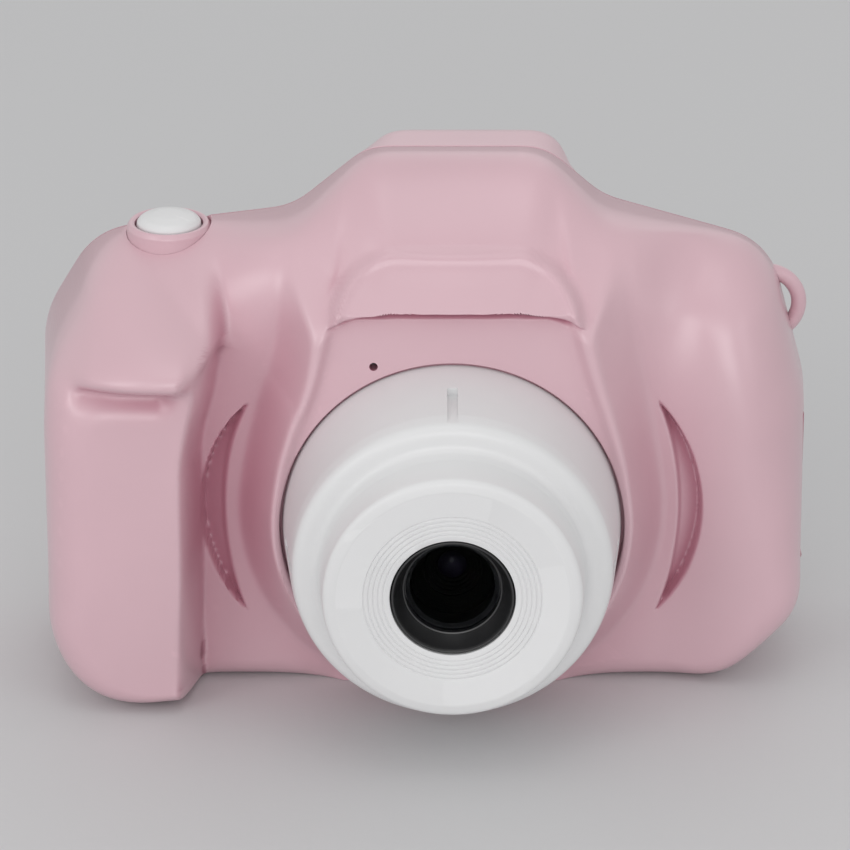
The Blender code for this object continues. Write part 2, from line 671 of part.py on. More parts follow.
def boards():
    front, back = BOARD_BACK - BOARD_T, BOARD_BACK
    outline = [
        (-37.6, 10.2),
        (-13.2, 10.2),
        (-13.2, 8.0),
        (30.4, 8.0),
        (30.4, 15.8),
        (37.6, 15.8),
        (37.6, 33.0),
        (30.4, 33.0),
        (30.4, 39.6),
        (-33.0, 39.6),
        (-37.6, 34.0),
    ]
    flat_curve("main_board", outline, BOARD_T, "board", (0, (front + back) / 2, 0), FORWARD)
    box("image_processor", (-8, -1.1, 24), (2, front - 0.1, 34), "black", 0.15)
    box("usb_socket", (31.5, front - 2.8, 16.2), (38.7, front - 0.1, 22.8), "steel", 0.3)
    box("card_socket", (24.5, front - 1.7, 24.4), (38.6, front - 0.1, 32.4), "steel", 0.15)
    low = (SCREEN_X - 21.2, BOARD_BACK + 0.4, SCREEN_Z - 16.4)
    high = (SCREEN_X + 20.6, BOARD_BACK + 3.2, SCREEN_Z + 16.4)
    box("lcd_panel", low, high, "black", 0.2)
    box("battery", (-13.5, -7.6, 9.0), (18.5, -2.3, 37.2), "battery", 0.8)
    wire = [(15, -2.1, 38.0), (16.5, -2.3, 38.6), (18.5, -1.9, 38.2), (20, -1.0, 36.8), (20.5, -0.2, 35.4)]
    bar("battery_lead", wire, 0.45, "black")
    speaker = [(0, 6.8), (4.2, 6.8), (5.6, 6.4), (5.6, 4.4), (4.0, 4.0), (4.0, 2.8), (0, 2.8)]
    turned("speaker", speaker, (4.0, 0, 48.6), "black", BACKWARD, 32)
    rod("microphone", (-5.4, -10.6, 38.2), 2.2, 1.9, "steel", FORWARD)


def screen_window():
    half_w, half_h = WINDOW[0] / 2, WINDOW[1] / 2
    low = (SCREEN_X - half_w, REAR_DEPTH - WINDOW[2] - 0.05, SCREEN_Z - half_h)
    high = (SCREEN_X + half_w, REAR_DEPTH - 0.05, SCREEN_Z + half_h)
    window = box("screen_window", low, high, "glass")
    corners = window.modifiers.new("corners", "BEVEL")
    corners.width = 3.0 * MM
    corners.segments = 4
    corners.limit_method = "WEIGHT"
    weights = window.data.attributes.new("bevel_weight_edge", "FLOAT", "EDGE")
    for edge, weight in zip(window.data.edges, weights.data):
        ends = [window.data.vertices[i].co for i in edge.vertices]
        along_depth = (ends[0] - ends[1]).normalized().y
        weight.value = abs(round(along_depth))


def switch(name, at, turn, height):
    """A tact switch: a body with a round pocket, and the plunger that slides in it."""
    x, y, z = at
    half = 2.25
    body = box(f"{name}_switch", (-half, -half, 0), (half, half, height), "black")
    body.location = Vector(at) * MM
    body.rotation_euler = turn
    shift = Matrix.Translation((0, 0, height * MM / 2))
    body.data.transform(shift)
    pocket = rod(f"{name}_pocket", (x, y, z), 4, 1.1, turn=turn, sides=12)
    direction = Matrix.LocRotScale(None, body.rotation_euler, None) @ Vector((0, 0, 1))
    pocket.location += direction * (height - 1.5) * MM
    cut(body, pocket)
    plunger = rod(f"{name}_plunger", (x, y, z), 1.4, 0.95, "steel", turn, 12)
    plunger.location += direction * (height - 0.5) * MM
    return plunger


def keys():
    """Seven round keys in the back, each over its own switch."""
    height = 2.4
    base = BOARD_BACK + 0.1
    top = base + height + 0.9 + 0.1
    for name, (x, z, radius) in KEYS.items():
        switch(name, (x, base, z), BACKWARD, height)
        inner = REAR_DEPTH - WALL - 0.25
        proud = REAR_DEPTH + KEY_PROUD
        profile = [
            (0, proud),
            (radius * 0.6, proud - 0.08),
            (radius - 0.35, proud - 0.25),
            (radius, proud - 0.65),
            (radius, inner),
            (radius + 0.55, inner),
            (radius + 0.55, inner - 0.5),
            (1.1, inner - 0.5),
            (1.1, top),
            (0, top),
        ]
        turned(f"{name}_button", profile, (x, 0, z), "white", BACKWARD, 20)


def shutter():
    """The collar, the domed cap with its stem, and the switch on its small board."""
    at = (SHUTTER_X, SHUTTER_Y, 0)
    bottom = 44.6
    rounded = [(COLLAR_BORE + 0.15, COLLAR_TOP), (COLLAR_R - 0.15, COLLAR_TOP), (COLLAR_R, COLLAR_TOP - 0.2)]
    ring = [*rounded, (COLLAR_R, bottom), (COLLAR_BORE, bottom), (COLLAR_BORE, COLLAR_TOP - 0.2)]
    turned("shutter_collar", ring, at, "pink", (0, 0, 0), 32, closed=True)
    board_top = 40.9
    height = 1.8
    plunger_top = board_top + 0.1 + height + 0.9
    cap = [
        (0, COLLAR_TOP + 0.95),
        (1.6, COLLAR_TOP + 0.85),
        (2.8, COLLAR_TOP + 0.5),
        (3.3, COLLAR_TOP + 0.15),
        (CAP_R, COLLAR_TOP - 0.2),
        (CAP_R, bottom - 0.3),
        (CAP_R + 0.55, bottom - 0.3),
        (CAP_R + 0.55, bottom - 0.7),
        (1.2, bottom - 0.7),
        (1.2, plunger_top + 0.1),
        (0, plunger_top + 0.1),
    ]
    turned("shutter_button", cap, at, "white", (0, 0, 0), 32)
    switch("shutter", (SHUTTER_X, SHUTTER_Y, board_top + 0.1), (0, 0, 0), height)
    low, high = (SHUTTER_X - 4, SHUTTER_Y - 3.4, board_top - 0.8), (SHUTTER_X + 4, SHUTTER_Y + 3.4, board_top)
    box("shutter_board", low, high, "board")


# ---------------------------------------------------------------- fittings


def screw(name, at, length, turn, head=HEAD_R):
    """A pan-head screw that starts at the top of its head and points along local -Z, with a cross recess."""
    profile = [
        (0, 0),
        (head * 0.6, -0.05),
        (head, -0.55),
        (head, -1.1),
        (SHANK_R, -1.1),
        (SHANK_R, -length + 0.8),
        (0.25, -length),
        (0, -length),
    ]
    body = turned(name, profile, at, "steel", turn, 16)
    for k in range(2):
        size = (head * 0.62, 0.2, 0.7) if k else (0.2, head * 0.62, 0.7)
        slot = box(f"{name}_slot_{k}", (-size[0], -size[1], -size[2]), size)
        slot.location = Vector(at) * MM
        slot.rotation_euler = turn
        cut(body, slot)


def screws():
    for k, (x, z) in enumerate(CASE_SCREWS):
        screw(f"case_screw_{k + 1}", (x, 5.6, z), 11.5, BACKWARD)


def lanyard_loop():
    """A round bar bent to a C, whose ends are held between the shells."""
    angles = np.radians(np.linspace(-62, 112, 19))
    points = [(LOOP_X + LOOP_R * math.cos(a), 0, LOOP_Z + LOOP_R * math.sin(a)) for a in angles]
    bar("lanyard_loop", points, LOOP_BAR, "pink")


def port_cover():
    """A rubber flap that turns on the bead along its lower end, with a plug for each socket."""
    y0, y1 = PORT_Y[0] + 0.25, PORT_Y[1] - 0.25
    inner, outer = HALF_WIDTH - 1.15, HALF_WIDTH - 0.32
    at = Vector((HINGE_X, 0, HINGE_Z))
    flap = box("port_cover", (inner, y0, HINGE_Z), (outer, y1, PORT_Z[1] - 0.25), "rubber")
    move = Vector(flap.location) - at * MM
    flap.data.transform(Matrix.Translation(move))
    flap.location = at * MM
    bead = rod("cover_bead", (HINGE_X, y1, HINGE_Z), y1 - y0, BEAD_R, turn=FORWARD, sides=12)
    usb = box("usb_plug", (inner - 0.9, -3.5, 16.1), (inner + 0.3, -1.8, 22.9))
    card = box("card_plug", (inner - 0.9, -2.7, 25.4), (inner + 0.3, -2.1, 27.9))
    join(flap, bead, usb, card)


front_shell()
rear_shell()
lens()
boards()
screen_window()
keys()
shutter()
screws()
lanyard_loop()
port_cover()
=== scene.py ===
"""Looks of the children's digital camera: fine moulded shells, the lens, the keys and their materials.

Case coordinates are in millimetres: +X is to the right of someone who faces the lens, +Z is up, and Y is
measured from the parting plane of the two shells, positive towards the screen. "Forward" is -Y.
"""

import json
import math

import bmesh
import bpy
import numpy as np
from mathutils import Matrix, Vector


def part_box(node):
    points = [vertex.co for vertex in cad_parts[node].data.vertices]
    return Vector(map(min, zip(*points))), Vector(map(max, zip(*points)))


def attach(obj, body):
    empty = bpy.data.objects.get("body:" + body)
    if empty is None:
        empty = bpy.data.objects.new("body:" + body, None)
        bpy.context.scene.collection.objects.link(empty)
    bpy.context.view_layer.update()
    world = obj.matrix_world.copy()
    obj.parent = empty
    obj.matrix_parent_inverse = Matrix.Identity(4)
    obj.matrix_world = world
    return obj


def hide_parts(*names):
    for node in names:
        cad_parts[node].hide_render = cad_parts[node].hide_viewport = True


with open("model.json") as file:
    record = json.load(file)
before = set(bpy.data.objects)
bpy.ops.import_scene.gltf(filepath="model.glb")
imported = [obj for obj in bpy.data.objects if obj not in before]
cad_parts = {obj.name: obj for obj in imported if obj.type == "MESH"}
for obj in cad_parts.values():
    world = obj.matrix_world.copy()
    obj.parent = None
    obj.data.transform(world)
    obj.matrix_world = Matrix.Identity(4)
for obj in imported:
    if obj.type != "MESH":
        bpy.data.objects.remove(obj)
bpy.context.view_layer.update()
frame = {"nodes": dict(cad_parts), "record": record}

MM = 0.001
SEAM = 0.1  # half of the parting line in the CAD
LINE = 0.08  # and half of the line that shows, whose edges are broken by RIM_BREAK
RIM_BREAK = 0.08
PARTING_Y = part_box("front_shell")[1][1] / MM + SEAM

# Driving dimensions, as in the CAD. A height named _H is measured forward from the parting plane.
HALF_WIDTH = 41.0
HUMP_Z = 57.6
REAR_DEPTH = 9.0
WALL = 1.8
KEY_PROUD = 0.8
LENS_X, LENS_Z = 2.85, 20.9
LENS_TIP = 35.0
SEAT = 15.2
SEAT_R, HOLE_R = 18.3, 16.0
CORNERS = (  # of the outline, each with its x, its z and the radius it is rounded to
    (-HALF_WIDTH, 0, 11.2),
    (32.2, 0, 8),
    (HALF_WIDTH, 8.1, 6),
    (HALF_WIDTH, 31.2, 14),
    (36.9, 46.8, 8),
    (19.0, 52.1, 7),
    (12.7, HUMP_Z, 6.0),
    (-6.2, HUMP_Z, 6.0),
    (-14.1, 50.9, 7),
    (-35.2, 48.2, 8),
    (-HALF_WIDTH, 38.5, 12),
)
OUTLINE_SOFTNESS = 1.6
BODY_H, HUMP_H, GRIP_H, PLATEAU_H = 11.6, 12.5, 20.0, 17.0
PAD_H, LEDGE_Z = 2.6, 37.6
DRAFT, TOP_DRAFT, HUMP_DRAFT = 0.05, 0.10, 0.16
GRIP_EDGE, GRIP_FLANK = -22.5, 3.8
BOSS_R, BOSS_LEAN = 21.5, math.radians(8.5)
BROW_Z, BROW_TOP, BROW_HALF, BROW_SLANT = 45.7, 52.1, 14.0, math.radians(15)
CRESCENT_OUTER, CRESCENT_INNER, CRESCENT_HALF, CRESCENT_TIP = 27.1, 24.2, 12.8, 21.75
CRESCENT_DEPTH = 2.2
SCREEN_X, SCREEN_Z = 9.5, 23.5
WINDOW = (43.0, 34.0, 1.2)  # width, height and thickness
WINDOW_CORNER = 3.0
OPENING = (39.6, 30.4, 1.0)  # width, height and radius of the corners
PAD_X, PAD_Z, PAD_R = -25.6, 20.5, 7.4
KEYS = {  # the x, the z and the radius of each
    "up": (PAD_X, PAD_Z + PAD_R, 2.5),
    "down": (PAD_X, PAD_Z - PAD_R, 2.5),
    "left": (PAD_X + PAD_R, PAD_Z, 2.5),
    "right": (PAD_X - PAD_R, PAD_Z, 2.5),
    "ok": (PAD_X, PAD_Z, 3.0),
    "mode": (-20.4, 37.0, 2.2),
    "power": (-30.8, 37.0, 2.2),
}
GAP = 0.15
SHUTTER_X, SHUTTER_Y = -27.3, -1.2
COLLAR_R, COLLAR_BORE, CAP_R = 4.5, 3.65, 3.5
COLLAR_TOP = 49.5
CASE_SCREWS = ((33.9, 36.2), (33.9, 12.6), (-16.4, 43.4), (-16.0, 5.6))
HEAD_R = 1.9
LOOP_X, LOOP_Z, LOOP_R, LOOP_BAR = 36.6, 39.7, 3.6, 0.82
PORT_Y, PORT_Z, PORT_DEPTH = (-6.3, -1.0), (11.6, 29.4), 1.25

# Edges of the brow and the crescents, crisper than in the CAD
SHARP_EDGE = 0.3

# How finely the visible shells are divided: round the outline, over the face, and over the rolled edge
FRONT_STEPS, FRONT_RINGS, FRONT_EDGE = 560, 92, 40
FRONT_INNER_RINGS, FRONT_INNER_EDGE = 24, 8
REAR_STEPS, REAR_EDGE = 480, 14
CORNER_STEPS = 16  # along each corner of the outline
FINER = 8  # how many times finer the outline is worked out than it is used

# Viewpoint, and the studio
CAMERA_DISTANCE = 0.550
CAMERA_TILT = math.radians(23.8)
CAMERA_LENS = 217.7
CAMERA_TARGET = (0.0, (PARTING_Y - 8.0) * MM, 0.02874)
LIGHTS_AIM = (0, 0, 0.025)
SKY_STRENGTH = 0.63
FLOOR_HALF, FLOOR_DROP = 3.0, 0.00002

FORWARD = Matrix.Rotation(math.pi / 2, 4, "X")  # local +Z points the way the lens points
BACKWARD = Matrix.Rotation(-math.pi / 2, 4, "X")  # local +Z points at the user


# ---------------------------------------------------------------- the case's shape


def ease(t):
    """0 before 0, 1 after 1, and smooth between."""
    t = np.clip(t, 0, 1)
    return t * t * (3 - 2 * t)


def soft_max(a, b, k):
    return np.maximum(a, b) + np.maximum(k - np.abs(a - b), 0) ** 2 / (4 * k)


def soft_min(a, b, k):
    return -soft_max(-a, -b, k)


def even_out(values, reach):
    """A closed run of values averaged with their neighbours, reach samples each way."""
    weights = np.hanning(2 * reach + 3)[1:-1]
    shifted = [w * np.roll(values, k - reach, axis=0) for k, w in enumerate(weights)]
    return sum(shifted) / weights.sum()


def case_outline(count):
    """count points evenly spaced along the rounded outline, and their outward normals."""
    dense = []
    corners = [Vector(c[:2]) for c in CORNERS]
    for i, corner in enumerate(corners):
        before = (corners[i - 1] - corner).normalized()
        after = (corners[(i + 1) % len(corners)] - corner).normalized()
        half = before.angle(after) / 2
        radius = CORNERS[i][2]
        centre = corner + (before + after).normalized() * (radius / math.sin(half))
        start = corner + before * (radius / math.tan(half)) - centre
        end = corner + after * (radius / math.tan(half)) - centre
        sweep = start.angle_signed(end)
        for k in range(CORNER_STEPS + 1):
            dense.append(centre + Matrix.Rotation(-sweep * k / CORNER_STEPS, 2) @ start)
    dense = np.array([tuple(p) for p in dense])
    start = int(np.argmin(np.abs(dense[:, 0] - LENS_X) + dense[:, 1]))
    dense = np.roll(dense, -start, axis=0)
    closed = np.vstack([dense, dense[:1]])
    length = np.concatenate([[0], np.cumsum(np.linalg.norm(np.diff(closed, axis=0), axis=1))])
    at = np.arange(FINER * count) * length[-1] / (FINER * count)
    fine = np.stack([np.interp(at, length, closed[:, k]) for k in range(2)], axis=1)
    fine = even_out(fine, max(1, round(OUTLINE_SOFTNESS / length[-1] * FINER * count)))
    tangent = np.roll(fine, -1, axis=0) - np.roll(fine, 1, axis=0)
    tangent /= np.linalg.norm(tangent, axis=1)[:, None]
    normal = np.stack([tangent[:, 1], -tangent[:, 0]], axis=1)
    return fine[::FINER], normal[::FINER]


def crescents(u, z, edge, spread=0.0):
    """Depth of the two sickle-shaped scallops that flank the lens. They deepen towards their outer edge."""
    half, tip = CRESCENT_HALF, CRESCENT_TIP
    r_out = (half**2 + (CRESCENT_OUTER - tip) ** 2) / (2 * (CRESCENT_OUTER - tip))
    r_in = (half**2 + (CRESCENT_INNER - tip) ** 2) / (2 * (CRESCENT_INNER - tip))
    outer = r_out - np.hypot(np.abs(u) - (CRESCENT_OUTER - r_out), z - LENS_Z)
    inner = np.hypot(np.abs(u) - (CRESCENT_INNER - r_in), z - LENS_Z) - r_in
    across = np.clip(inner / np.maximum(outer + inner, 0.1), 0, 1)
    inside = ease((np.minimum(outer, inner) + spread) / edge)
    return inside * CRESCENT_DEPTH * (0.12 + 0.88 * across)


def rounded(a, b, radius):
    """Distance inside a corner between two edges, which is rounded to a radius."""
    return radius - np.hypot(np.maximum(radius - a, 0), np.maximum(radius - b, 0))


def body_face(x, z):
    """Forward height of the case alone: its right shoulder rounds back, and the hump leans back."""
    u = x - LENS_X
    base = BODY_H + 1.9 * ease((x - 25) / 11)
    base = base - 0.018 * np.maximum(z - 31, 0) ** 2 * ease((x - 21) / 9)
    hump = HUMP_H - 0.30 * (z - 50) - 0.04 * np.maximum(np.abs(u) - 6, 0) ** 1.7
    return base + (hump - base) * ease((z - 45) / 5) * (1 - ease((np.abs(u) - 11) / 9))


def add_grip(base, x, z):
    """The grip, whose flank is steeper low down."""
    grip = GRIP_H - 0.12 * np.maximum(z - 41, 0) ** 1.7
    tight = 1 - ease((z - 4) / 14)
    low = 1 - ease((z - 28) / 9)
    across = (GRIP_EDGE - 0.3 * tight - 1.2 * low - x) / (GRIP_FLANK - 0.3 * tight - 1.0 * low)
    bulge = np.sin(math.pi / 2 * np.clip(across, 0, 1))
    return base + (grip - base) * (ease(across) * (1 - 0.8 * tight) + bulge * 0.8 * tight)


def add_boss(height, base, u, z):
    """The boss round the lens: a circle below, and straight flanks that lean in above to two knuckles."""
    above = z - LENS_Z
    lean = np.arctan2(above, np.abs(u)) > BOSS_LEAN
    flank = np.abs(u) * math.cos(BOSS_LEAN) + above * math.sin(BOSS_LEAN)
    out = np.where(lean, flank, np.hypot(u, above)) - BOSS_R
    ramp = 2.4 + 1.8 * ease((z - 25) / 19)
    foot = 1.8
    rise = np.maximum(foot - out, 0) ** 1.6 * 6.4 / (ramp + foot) ** 1.6
    flanks = ease((np.abs(u) - 10) / 6)
    plateau = PLATEAU_H - 0.07 * above
    plateau = plateau + (base - plateau) * ease((z - 44.6 + 3.0 * flanks) / (3.0 + 5.0 * flanks))
    rim = 1.0 * np.exp(-((np.maximum(-out - ramp, 0) / 1.0) ** 2))
    boss = soft_min(base + rise, plateau + rim, 0.7)
    return soft_max(height, boss, 0.5)


def add_finger_pad(height, x, z):
    """The cushion high on the grip, and the groove under it."""
    cushion = ease((x + 40.4) / 3.4) * ease((-25.6 - x) / 2.8) * ease((z - LEDGE_Z) / 3.0)
    height = height + PAD_H * cushion * (1 - ease((z - 41) / 6))
    groove = ease((x + 39.4) / 2.6) * ease((-27.2 - x) / 2.6)
    under = z - LEDGE_Z - 0.1
    return height - 1.3 * np.exp(-((under / np.where(under > 0, 0.9, 1.7)) ** 2)) * groove


def add_brow(height, u, z):
    """The visor over the lens, with a crisp lip below and a bead along its rounded top edge."""
    v = np.abs(u - 0.4)
    side = (BROW_HALF - v) * math.cos(BROW_SLANT) - (z - BROW_Z) * math.sin(BROW_SLANT)
    lip = BROW_Z - 2.2 * np.minimum(v / BROW_HALF, 1.1) ** 4
    upper = rounded(side, BROW_TOP - z, 6.2)
    inside = np.minimum(upper, rounded(side, z - lip + 0.6, 1.4))
    swell = ease(inside / (0.8 + 0.5 * ease((v - 7) / 4))) * ease((z - lip) / (SHARP_EDGE + 0.15))
    crest = upper - 0.8
    bead = 0.85 * np.exp(-((crest / np.where(crest > 0, 0.75, 0.4)) ** 2))
    brow = 17.1 - 0.85 * np.maximum(z - BROW_Z, 0) - 0.007 * v**2 + bead
    return height + np.maximum(brow - height, 0) * swell


def relief(x, z, details=True):
    """Forward height of the front face over the parting plane. details adds the brow, pad and crescents."""
    u = x - LENS_X
    base = body_face(x, z)
    height = add_boss(add_grip(base, x, z), base, u, z)
    if not details:
        return height
    height = add_brow(add_finger_pad(height, x, z), u, z)
    return height - crescents(u, z, SHARP_EDGE + 0.25)


def steepness(x, z):
    """Length along Y of a unit of thickness: 1 where the face looks forward, and more on a steep flank."""
    step = 0.4
    across = relief(x + step, z, False) - relief(x - step, z, False)
    up = relief(x, z + step, False) - relief(x, z - step, False)
    return np.sqrt(1 + np.minimum((across**2 + up**2) / (2 * step) ** 2, 8))


def edge_of(outline, normal):
    """How the front face rolls over to the side all round: radius, exponent and height of the straight wall,
    the direction from each outline point to the lens axis, and how much the wall leans in."""
    to_axis = np.array([LENS_X, LENS_Z]) - outline
    reach = np.linalg.norm(to_axis, axis=1)
    inward = to_axis / reach[:, None]
    facing = np.maximum(-(inward * normal).sum(axis=1), 0.5)
    top, bottom = ease(normal[:, 1] / 0.9), ease(-normal[:, 1] / 0.9)
    side = 1 - top - bottom
    x = outline[:, 0]
    over_hump = 1 - ease((np.abs(x - LENS_X) - 7) / 11)
    top_radius = 7.0 + 3.5 * ease((-20 - x) / 9) + 1.0 * ease((x - 18) / 10) + 2.2 * over_hump
    side_radius = 5.2 + 3.0 * ease((x - 10) / 20) * ease((outline[:, 1] - 14) / 16)
    radius = side_radius * side + top_radius * top + 2.9 * bottom
    radius = np.minimum(radius, 0.8 * (reach - SEAT_R) * facing)
    power = 2.3 * side + (2.2 - 0.3 * over_hump) * top + 2.2 * bottom
    inner = outline + inward * (radius / facing)[:, None]
    wall = relief(inner[:, 0], inner[:, 1], False) - 1.15 * radius
    top_lean = TOP_DRAFT + (HUMP_DRAFT - TOP_DRAFT) * over_hump + 0.14 * ease((-18 - x) / 6)
    lean = DRAFT * side + top_lean * top
    smoothing = max(1, len(outline) // 28)
    radius, power, wall, lean = (even_out(v, smoothing) for v in (radius, power, wall, lean))
    return radius, power, np.maximum(wall, 0.9), inward, facing, lean / facing


def front_sections(count, edge_rings, face_rings, inner_rings, inner_edge):
    """Closed loops of points that run from the lens seat over the outside, round the rim and back inside."""
    outline, normal = case_outline(count)
    radius, power, wall, inward, facing, lean = edge_of(outline, normal)
    reach = np.linalg.norm(np.array([LENS_X, LENS_Z]) - outline, axis=1)

    def loop(distance, height):
        """Points that far from the outline along each ray to the lens axis, at that forward height."""
        share = np.clip(1 - distance / (reach - SEAT_R), 0, 1)
        at = outline + inward * (distance + lean * height * share)[:, None]
        return np.stack([at[:, 0], -height, at[:, 1]], axis=1)

    def face(distance, inset, share, details):
        """A loop on the face, or inside its wall. share runs from the wall's top, 0, to the face, 1."""
        at = outline + inward * distance[:, None]
        top = relief(at[:, 0], at[:, 1], details)
        if not details:
            top = top - inset * steepness(at[:, 0], at[:, 1])
            top = top - crescents(at[:, 0] - LENS_X, at[:, 1], 1.6, 1.6)
        low = np.minimum(wall, top - 0.2)
        return loop(distance, low + (top - low) * share)

    seat = np.full(count, SEAT)
    ones = np.ones(count)
    outside = [loop(reach - HOLE_R, seat), loop(reach - SEAT_R, seat)]
    for k in range(face_rings):
        share = k / face_rings
        distance = (reach - SEAT_R) * (1 - share) + radius / facing * share
        outside.append(face(distance, 0, ones, True))
    for k in range(edge_rings + 1):
        angle = math.pi / 2 * (1 - k / edge_rings)
        distance = radius / facing * (1 - max(math.cos(angle), 0) ** (2 / power))
        outside.append(face(distance, 0, math.sin(angle) ** (2 / power), True))
    outside.append(loop(0 * ones, (LINE + RIM_BREAK) * ones))
    outside.append(loop(RIM_BREAK * ones, LINE * ones))
    step = WALL / facing
    inside = [loop(step, LINE * ones)]
    inner_radius = np.maximum(radius - WALL, 1.0)
    for k in range(inner_edge + 1):
        angle = math.pi / 2 * k / inner_edge
        distance = step + inner_radius / facing * (1 - max(math.cos(angle), 0) ** (2 / power))
        inside.append(face(distance, WALL, math.sin(angle) ** (2 / power), False))
    last = reach - SEAT_R - 0.3
    for k in range(1, inner_rings + 1):
        share = k / (inner_rings + 1)
        distance = (step + inner_radius / facing) * (1 - share) + last * share
        inside.append(face(distance, WALL, ones, False))
    inside.append(loop(last, seat - WALL))
    inside.append(loop(reach - HOLE_R, seat - WALL))
    return outside + inside


def rounded_rectangle(toward, width, height, corner):
    """For each direction from the rectangle's centre, the point where it leaves the rounded rectangle."""
    low, high = np.zeros(len(toward)), np.full(len(toward), width + height)
    for _ in range(40):
        middle = (low + high) / 2
        at = np.abs(toward * middle[:, None]) - np.array([width / 2 - corner, height / 2 - corner])
        outside = np.hypot(*np.maximum(at, 0).T) > corner
        low, high = np.where(outside, low, middle), np.where(outside, middle, high)
    return toward * low[:, None]


def rear_sections(count, edge_rings):
    """Closed loops from the screen opening over the outside of the rear shell to its rim and back inside."""
    outline, normal = case_outline(count)
    roll, straight = 5.0, REAR_DEPTH - 5.0
    centre = np.array([SCREEN_X, SCREEN_Z])
    toward = outline - centre
    toward = toward / np.linalg.norm(toward, axis=1)[:, None]

    x = outline[:, 0]
    over_hump = ease((x + 9.5) / 4) * (1 - ease((x - 14) / 4))
    shoulder = even_out(ease(normal[:, 1] / 0.8) * (1 - over_hump), count // 60)

    def ring(inset, depth, wall=0.0):
        """The outline moved in by inset. The shoulders fall away from the rim, and the hump leans to +X."""
        fall = 5.8 * (1 - (1 - min(depth / REAR_DEPTH, 1)) ** 0.77)
        moved = wall + inset + (fall - inset) * shoulder
        at = outline - normal * moved[:, None]
        lean = (1.9 - ease((at[:, 0] - 2) / 6)) * ease((at[:, 1] - 51) / 5) * depth / REAR_DEPTH
        return np.stack([at[:, 0] + lean, np.full(count, depth), at[:, 1]], axis=1)

    def around_screen(width, height, corner, depth):
        """A loop along a rounded rectangle centred on the screen, at that depth behind the parting plane."""
        at = centre + rounded_rectangle(toward, width, height, corner)
        return np.stack([at[:, 0], np.full(count, depth), at[:, 1]], axis=1)

    seat = REAR_DEPTH - WINDOW[2] - GAP
    rebate = (WINDOW[0] + 0.4, WINDOW[1] + 0.4, 2.9)
    mouth = (WINDOW[0] + 0.8, WINDOW[1] + 0.8, 3.1)
    sections = [
        around_screen(*OPENING, seat),
        around_screen(*rebate, seat),
        around_screen(*rebate, REAR_DEPTH - 0.2),
        around_screen(*mouth, REAR_DEPTH),
    ]
    for k in range(edge_rings + 1):
        angle = math.pi / 2 * k / edge_rings
        sections.append(ring(roll * (1 - math.sin(angle)), straight + roll * math.cos(angle)))
    sections += [ring(0, 2.0), ring(0, LINE + RIM_BREAK), ring(RIM_BREAK, LINE)]
    sections += [ring(0, LINE, WALL), ring(0, straight, WALL)]
    inner_roll = roll - WALL
    for k in (1, 2):
        angle = math.pi / 4 * k
        inset = inner_roll * (1 - math.cos(angle))
        sections.append(ring(inset, straight + inner_roll * math.sin(angle), WALL))
    sections.append(around_screen(*OPENING, REAR_DEPTH - WALL))
    return sections


# ---------------------------------------------------------------- making pieces


def mesh_from(name, points, faces):
    """A mesh from points in case millimetres, placed in the shared frame."""
    points = np.asarray(points, dtype=float) + np.array([0, PARTING_Y, 0])
    mesh = bpy.data.meshes.new(name)
    mesh.from_pydata((points * MM).tolist(), [], faces)
    mesh.update()
    return mesh


def shade(mesh, angle):
    mesh.shade_smooth()
    mesh.set_sharp_from_angle(angle=math.radians(angle))


def grid_faces(rows, columns, close_rows):
    """Quads that join rows of points, each a closed loop of columns points."""
    faces = []
    for k in range(rows if close_rows else rows - 1):
        after = (k + 1) % rows
        for i in range(columns):
            j = (i + 1) % columns
            faces.append((k * columns + i, k * columns + j, after * columns + j, after * columns + i))
    return faces


def even_shading(obj):
    """Lets each large flat face keep its own direction in the shading, up to its edges."""
    step = obj.modifiers.new("shading", "WEIGHTED_NORMAL")
    step.keep_sharp = True


def piece(name, mesh, material, body, replaces, sharp=40):
    """Links a mesh as a visible piece that rides on a body. Edges sharper than sharp degrees stay crisp."""
    obj = bpy.data.objects.new(name, mesh)
    bpy.context.scene.collection.objects.link(obj)
    shade(mesh, sharp)
    if name not in ("case_front", "barrel"):
        even_shading(obj)
    mesh.materials.clear()
    mesh.materials.append(MATERIALS[material])
    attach(obj, body)
    if replaces:
        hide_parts(*replaces)


def fillet(profile, steps=7):
    """A closed profile of (radius, height, fillet radius) points, with each corner rounded."""
    out = []
    for i, (x, y, size) in enumerate(profile):
        here = Vector((x, y))
        if size <= 0:
            out.append((x, y))
            continue
        before = Vector(profile[i - 1][:2]) - here
        after = Vector(profile[(i + 1) % len(profile)][:2]) - here
        half = before.angle(after) / 2
        reach = min(size / math.tan(half), 0.49 * before.length, 0.49 * after.length)
        start, end = here + before.normalized() * reach, here + after.normalized() * reach
        for k in range(steps + 1):
            t = k / steps
            point = start.lerp(here, t).lerp(here.lerp(end, t), t)
            out.append((point.x, point.y))
    return out


def lathe(name, profile, axis, turn, steps):
    """A closed profile of (radius, height) points spun about an axis. Points on the axis become one point."""
    place = Matrix.Translation(Vector(axis)) @ turn
    rows, points = [], []
    for radius, height in profile:
        on_axis = radius < 1e-6
        row = []
        for k in range(1 if on_axis else steps):
            angle = 2 * math.pi * k / steps
            row.append(len(points))
            points.append(place @ Vector((radius * math.cos(angle), radius * math.sin(angle), height)))
        rows.append(row * steps if on_axis else row)
    faces = []
    for k in range(len(rows)):
        a, b = rows[k], rows[(k + 1) % len(rows)]
        for i in range(steps):
            j = (i + 1) % steps
            corners = []
            for v in (a[i], a[j], b[j], b[i]):
                if v not in corners:
                    corners.append(v)
            if len(corners) > 2:
                faces.append(tuple(corners))
    return mesh_from(name, [tuple(p) for p in points], faces)


